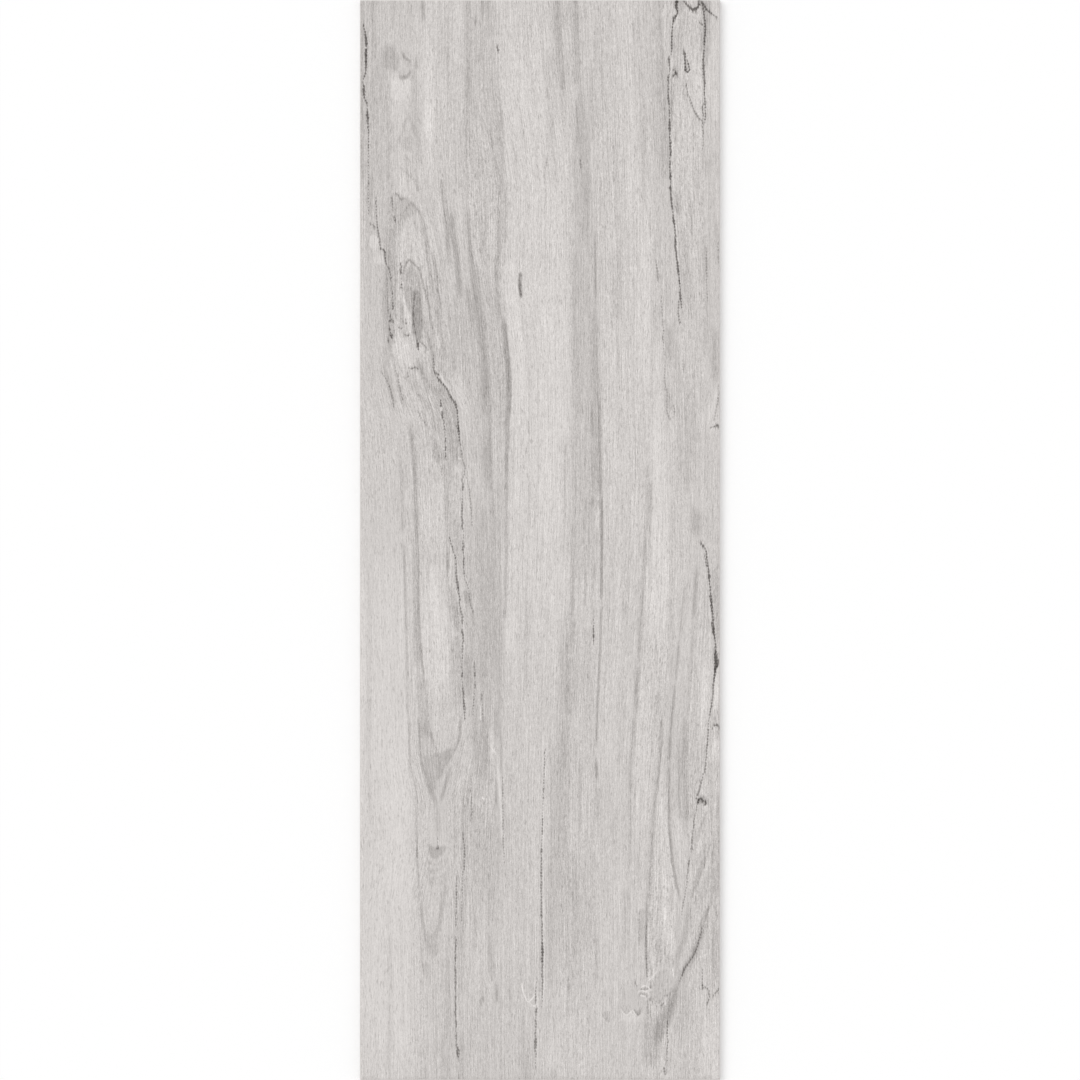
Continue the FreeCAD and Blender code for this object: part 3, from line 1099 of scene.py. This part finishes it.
def bevels(points, limits, rest, start):
    """The four bevels round the face. Each joins its side of the rim to two corners of the walls."""
    left, right, top, bottom = limits
    feet = {}
    for number, (x, y, z) in enumerate(rest):
        if abs(z - BEVEL_FOOT) < WELD:
            feet[x > 0, y > 0] = start + number
    x, y = points.T
    sides = (
        (np.isclose(x, right), y, feet[True, True], feet[True, False]),
        (np.isclose(y, bottom), -x, feet[True, False], feet[False, False]),
        (np.isclose(x, left), -y, feet[False, False], feet[False, True]),
        (np.isclose(y, top), x, feet[False, True], feet[True, True]),
    )
    polygons = []
    for on_side, order, first, last in sides:
        rim = np.flatnonzero(on_side)
        rim = rim[np.argsort(order[rim])]
        polygons.append([last, first, *map(int, rim)])
    return polygons


def add_field(mesh, name, values):
    """Stores a number, or a triple, for every point of the face, and 0 for the other points."""
    values = np.asarray(values, float)
    triple = values.ndim == 2
    full = np.zeros((len(mesh.vertices), 3) if triple else len(mesh.vertices))
    full[: len(values)] = values
    field = mesh.attributes.new(name, "FLOAT_VECTOR" if triple else "FLOAT", "POINT")
    field.data.foreach_set("vector" if triple else "value", full.ravel())


def strip_place(strip, share):
    """A place across one strip of the map."""
    return strip[0] + strip[1] * share


def map_place(point, normal, on_face):
    """Where a point of the surface lies on the map of the baked picture."""
    across = (point.x - LOW.x) / (HIGH.x - LOW.x)
    along = (point.y - LOW.y) / (HIGH.y - LOW.y)
    height = (point.z - LOW.z) / (HIGH.z - LOW.z)
    if on_face:
        return strip_place(FACE_STRIP, across), along
    if normal.z < -FACING:
        return strip_place(BACK_STRIP, across), along
    if abs(point.x) > HIGH.x - 2 * FACE_BEVEL and abs(normal.x) > FACING:
        return strip_place(LEFT_STRIP if point.x < 0 else RIGHT_STRIP, height), along
    if abs(point.y) > HIGH.y - 2 * FACE_BEVEL and abs(normal.y) > FACING:
        return strip_place(END_STRIP, height), END_SHARE * across + (FAR_END if point.y > 0 else 0)
    return strip_place(BACK_STRIP, across), along


def add_map(mesh, face_count):
    """Lays the surface out flat, with most of the room for the face."""
    layer = mesh.uv_layers.new(name="OFBake")
    places = np.zeros((len(mesh.loops), 2))
    for number, polygon in enumerate(mesh.polygons):
        for loop in polygon.loop_indices:
            point = mesh.vertices[mesh.loops[loop].vertex_index].co
            places[loop] = map_place(point, polygon.normal, number < face_count)
    layer.data.foreach_set("uv", places.ravel())


def add_print(mesh, points, tone, ink):
    """Stores what the glaze shows at each point of the face."""
    along = points[:, 1]
    add_field(mesh, "tone", tone)
    add_field(mesh, "ink", ink)
    add_field(mesh, "vigour", grain_vigour(points, tone))
    add_field(mesh, "grain", np.column_stack([across_grain(points), along, np.zeros(len(points))]))


def dress(mesh, face_count):
    """Gives the face the glaze and smooth shading, and the rest the bare body."""
    slots = np.ones(len(mesh.polygons), int)
    slots[:face_count] = 0
    mesh.polygons.foreach_set("material_index", slots)
    mesh.polygons.foreach_set("use_smooth", slots == 0)
    mesh.materials.append(face_material())
    mesh.materials.append(body_material())


def plank():
    """The plank as one closed mesh: a face in relief, bevels, walls and the keyed back."""
    points, triangles, limits = face_triangles()
    tone = figure_tone(points)
    ink = check_ink(points)
    face = placed(points, limits, relief(tone, ink))
    rest, rest_polygons = cad_rest()
    start = len(face)
    polygons = [tuple(t) for t in triangles]
    polygons += bevels(points, limits, rest, start)
    polygons += [[start + v for v in polygon] for polygon in rest_polygons]
    mesh = bpy.data.meshes.new("plank_tile_dressed")
    mesh.from_pydata(np.vstack([face, rest]).tolist(), [], polygons)
    add_print(mesh, points, tone, ink)
    dress(mesh, len(triangles))
    add_map(mesh, len(triangles))
    mesh.update()
    piece = bpy.data.objects.new("plank_tile_dressed", mesh)
    bpy.context.scene.collection.objects.link(piece)
    return piece


def linear(level):
    """A grey level as a linear amount of light, by the sRGB curve."""
    share = level / WHITE
    return share / 12.92 if share <= 0.04045 else ((share + 0.055) / 1.055) ** 2.4


def warm(level):
    """The warm grey that the whole plank is made in, at one level of its red."""
    return linear(level), linear(level - WARM_GREEN), linear(level - WARM_BLUE), 1.0


def new_material(name):
    """A material with its nodes and its shader."""
    material = bpy.data.materials.new(name)
    material.use_nodes = True
    return material, material.node_tree, material.node_tree.nodes["Principled BSDF"]


def feed(tree, socket, value):
    """Sets a socket to a number or a triple, or links it to another node's socket."""
    if isinstance(value, bpy.types.NodeSocket):
        tree.links.new(value, socket)
    else:
        socket.default_value = value


def maths(tree, operation, *values):
    """The result of an operation on numbers or other nodes' sockets."""
    node = tree.nodes.new("ShaderNodeMath")
    node.operation = operation
    for socket, value in zip(node.inputs, values):
        feed(tree, socket, value)
    return node.outputs[0]


def ranged(tree, value, low, high, to_low, to_high):
    """A value carried from one range to another, and held at its ends."""
    node = tree.nodes.new("ShaderNodeMapRange")
    for socket, amount in zip(node.inputs, (value, low, high, to_low, to_high)):
        feed(tree, socket, amount)
    return node.outputs[0]


def field(tree, name, output="Fac"):
    """What the mesh stores for its points under a name."""
    node = tree.nodes.new("ShaderNodeAttribute")
    node.attribute_name = name
    return node.outputs[output]


def noise(tree, place, cells, seed, detail=0.0):
    """Noise with this many cells to a unit along each axis. Each seed moves it to another place."""
    shift = [start + seed * step for start, step in zip(NOISE_START, NOISE_STEP)]
    moved = tree.nodes.new("ShaderNodeVectorMath")
    moved.operation = "MULTIPLY_ADD"
    for socket, value in zip(moved.inputs, (place, cells, shift)):
        feed(tree, socket, value)
    node = tree.nodes.new("ShaderNodeTexNoise")
    node.inputs["Scale"].default_value = 1.0
    node.inputs["Detail"].default_value = detail
    tree.links.new(moved.outputs[0], node.inputs["Vector"])
    return node.outputs[0]


def ramp(tree, value, stops):
    """Colours for a value from 0 to 1, by stops that are a position and a colour."""
    node = tree.nodes.new("ShaderNodeValToRGB")
    elements = node.color_ramp.elements
    for _ in range(len(stops) - len(elements)):
        elements.new(0.5)
    for element, (position, colour) in zip(elements, stops):
        element.position = position
        element.color = colour
    tree.links.new(value, node.inputs[0])
    return node.outputs[0]


def bump(tree, shader, height, distance):
    """Lets a height show in the shading as relief."""
    node = tree.nodes.new("ShaderNodeBump")
    node.inputs["Distance"].default_value = distance
    tree.links.new(height, node.inputs["Height"])
    tree.links.new(node.outputs[0], shader.inputs["Normal"])


def warm_ramp(tree, level):
    """The colour of a grey level."""
    stops = [(stop / WHITE, warm(stop)) for stop in RAMP_LEVELS]
    return ramp(tree, maths(tree, "DIVIDE", level, WHITE), stops)


def face_material():
    """The printed matt glaze: the drawn figure, with the fine streaks and pores of the grain."""
    material, tree, shader = new_material("printed_glaze")
    place = field(tree, "grain", "Vector")
    vigour = field(tree, "vigour")
    level = field(tree, "tone")
    for seed, (across, along, strength) in enumerate(GRAIN):
        grain = maths(tree, "SUBTRACT", noise(tree, place, (across, along, 1), seed), NOISE_MIDDLE)
        grain = maths(tree, "MULTIPLY", grain, vigour)
        level = maths(tree, "MULTIPLY_ADD", grain, strength, level)
    across, along, strength = PORES
    pores = ranged(tree, noise(tree, place, (across, along, 1), len(GRAIN)), *PORE_RANGE, 0, 1)
    level = maths(tree, "MULTIPLY_ADD", pores, -strength, level)
    level = maths(tree, "MULTIPLY_ADD", field(tree, "ink"), -CHECK_DARK, level)
    tree.links.new(warm_ramp(tree, level), shader.inputs["Base Color"])
    roughness = ranged(tree, level, *GLAZE_LEVELS, *GLAZE_ROUGHNESS)
    tree.links.new(roughness, shader.inputs["Roughness"])
    bump(tree, shader, maths(tree, "DIVIDE", level, WHITE), GLAZE_BUMP)
    return material


def body_material():
    """The unglazed body, on the walls, the bevels and the back: clouded, mottled and specked."""
    material, tree, shader = new_material("fired_body")
    place = tree.nodes.new("ShaderNodeTexCoord").outputs["Object"]
    level = BODY_LEVEL
    for seed, (cells, strength) in enumerate((BODY_CLOUDS, BODY_MOTTLE, BODY_SPECKS)):
        cloud = noise(tree, place, (cells, cells, cells), seed, BODY_DETAIL)
        level = maths(tree, "MULTIPLY_ADD", maths(tree, "SUBTRACT", cloud, NOISE_MIDDLE), strength, level)
    tree.links.new(warm_ramp(tree, level), shader.inputs["Base Color"])
    roughness = ranged(tree, level, *BODY_LEVELS, *BODY_ROUGHNESS)
    tree.links.new(roughness, shader.inputs["Roughness"])
    bump(tree, shader, maths(tree, "DIVIDE", level, WHITE), BODY_BUMP)
    return material


def floor():
    """A plain white floor, just under the plank."""
    material, _, shader = new_material("studio_floor")
    shader.inputs["Base Color"].default_value = FLOOR_WHITE, FLOOR_WHITE, FLOOR_WHITE, 1
    shader.inputs["Roughness"].default_value = 1.0
    shader.inputs["Specular IOR Level"].default_value = 0.0
    half = FLOOR_SIZE / 2
    corners = [(-half, -half), (half, -half), (half, half), (-half, half)]
    mesh = bpy.data.meshes.new("studio_floor")
    mesh.from_pydata([(x, y, LOW.z - FLOOR_GAP) for x, y in corners], [], [(0, 1, 2, 3)])
    mesh.materials.append(material)
    ground = bpy.data.objects.new("studio_floor", mesh)
    bpy.context.scene.collection.objects.link(ground)
    return ground


def dome_light():
    """Most of the light, from all round. The camera sees it as plain white."""
    world = bpy.data.worlds.new("studio")
    world.use_nodes = True
    tree = world.node_tree
    backdrop = tree.nodes["Background"]
    backdrop.inputs["Color"].default_value = 1, 1, 1, 1
    seen = tree.nodes.new("ShaderNodeLightPath").outputs["Is Camera Ray"]
    feed(tree, backdrop.inputs["Strength"], maths(tree, "MULTIPLY_ADD", seen, 1 - DOME_LIGHT, DOME_LIGHT))
    bpy.context.scene.world = world


def key_light():
    """A broad lamp over the plank's upper left."""
    lamp = bpy.data.lights.new("key_light", "SUN")
    lamp.energy = KEY_LIGHT * math.pi / math.cos(KEY_TILT)
    lamp.angle = KEY_SPREAD
    key = bpy.data.objects.new("key_light", lamp)
    key.rotation_euler = 0, -KEY_TILT, KEY_TURN
    bpy.context.scene.collection.objects.link(key)


def camera():
    """Straight above the plank, with its length filling the square picture."""
    lens = bpy.data.cameras.new("camera")
    lens.lens = LENS
    lens.sensor_width = SENSOR
    view = bpy.data.objects.new("camera", lens)
    view.location = 0, 0, BEVEL_FOOT + (HIGH.y - LOW.y) * LENS / SENSOR
    bpy.context.scene.collection.objects.link(view)
    bpy.context.scene.camera = view


tile = plank()
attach(tile, "root")
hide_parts(NODE)
floor()
dome_light()
key_light()
camera()
bpy.context.scene.view_settings.view_transform = "Standard"
